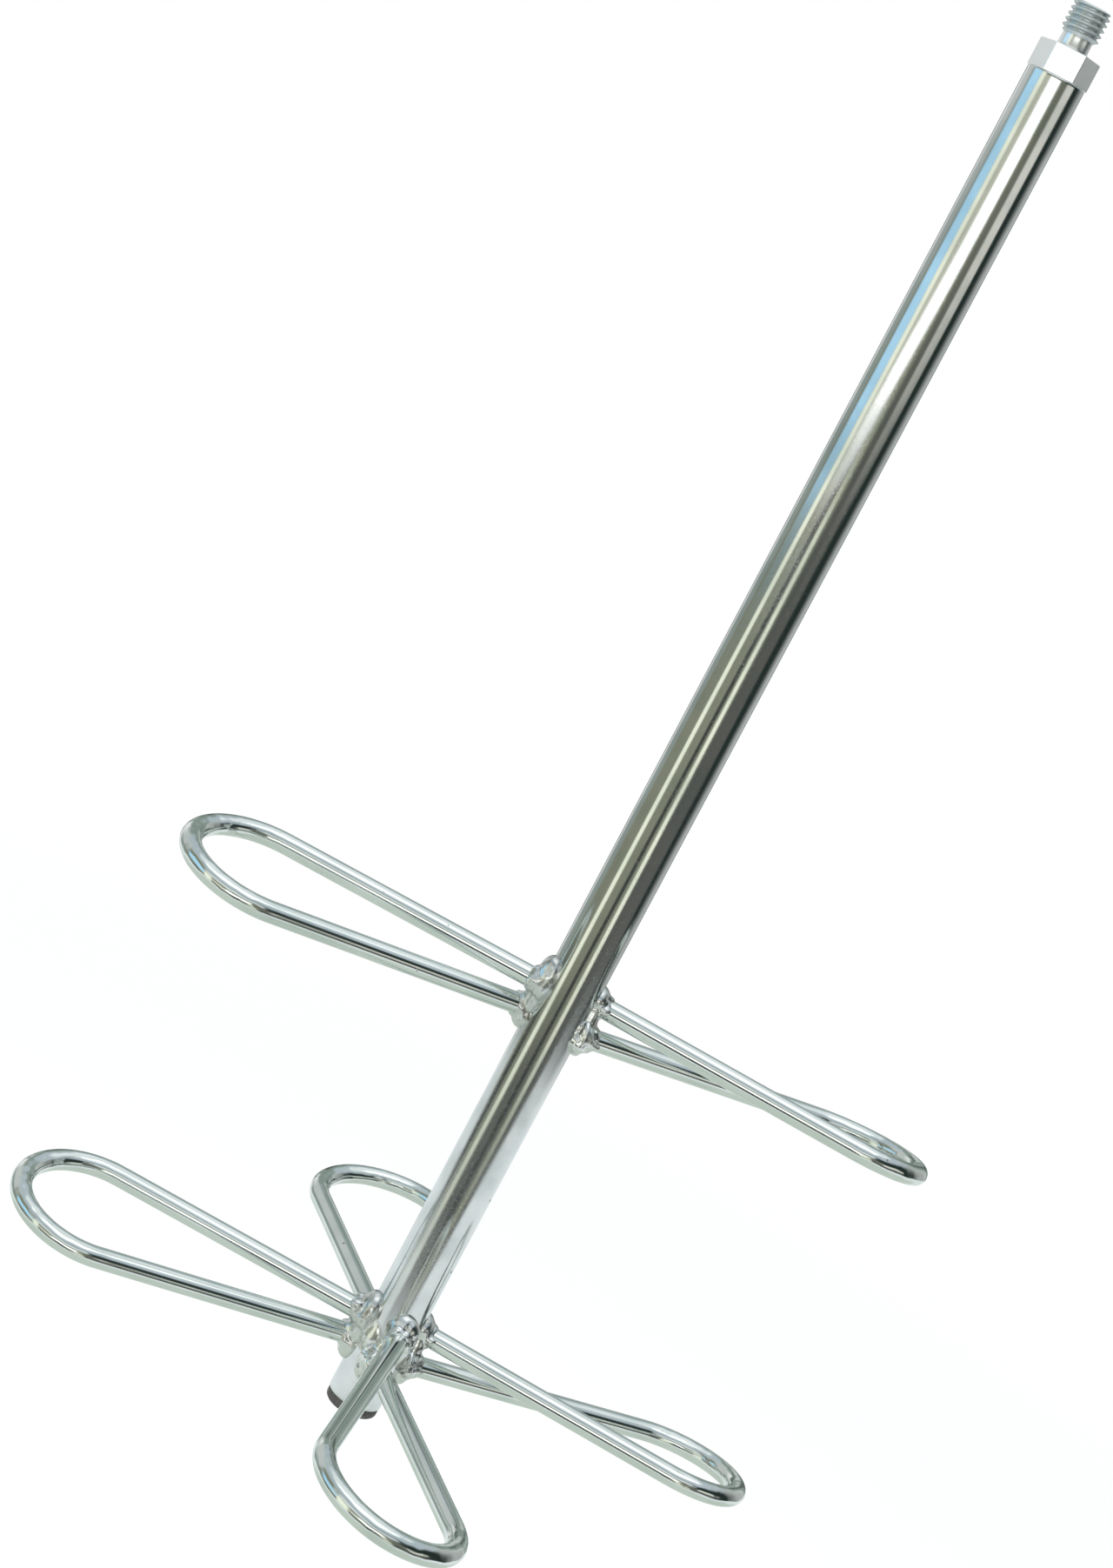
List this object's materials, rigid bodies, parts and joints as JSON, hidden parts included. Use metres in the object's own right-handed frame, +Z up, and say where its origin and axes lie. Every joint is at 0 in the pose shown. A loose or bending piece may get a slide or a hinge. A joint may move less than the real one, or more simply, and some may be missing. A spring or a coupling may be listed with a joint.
{
  "type": "stirrer shaft",
  "caption": "Zinc-plated tube shaft with a threaded stud and hexagon at one end and two tiers of bent-rod stirring loops welded round the other.",
  "frame": {"origin": "centre of the end plug's lower face, the lowest point of the part, on the shaft's axis", "axes": "+Z up the shaft's axis towards the threaded stud; +X along the right-hand loops of both tiers, so -Y is the side that the picture shows"},
  "size_m": [0.304, 0.304, 0.57],
  "materials": {
    "zinc_tube": "bright zinc plate, drawn tube",
    "zinc_turned": "bright zinc plate, turned and milled",
    "zinc_rod": "bright zinc plate, drawn rod",
    "zinc_weld": "bright zinc plate over rough weld metal",
    "dark_plug": "dark grey-brown moulded plastic, worn"
  },
  "bodies": {
    "root": {"end_plug": "dark_plug", "lower_back_bottom_weld": "zinc_weld", "lower_back_loop": "zinc_rod", "lower_back_top_weld": "zinc_weld", "lower_front_bottom_weld": "zinc_weld", "lower_front_loop": "zinc_rod", "lower_front_top_weld": "zinc_weld", "lower_left_bottom_weld": "zinc_weld", "lower_left_loop": "zinc_rod", "lower_left_top_weld": "zinc_weld", "lower_right_bottom_weld": "zinc_weld", "lower_right_loop": "zinc_rod", "lower_right_top_weld": "zinc_weld", "shaft_tube": "zinc_tube", "threaded_adapter": "zinc_turned", "upper_left_bottom_weld": "zinc_weld", "upper_left_loop": "zinc_rod", "upper_left_top_weld": "zinc_weld", "upper_right_bottom_weld": "zinc_weld", "upper_right_loop": "zinc_rod", "upper_right_top_weld": "zinc_weld"}
  },
  "joints": []
}
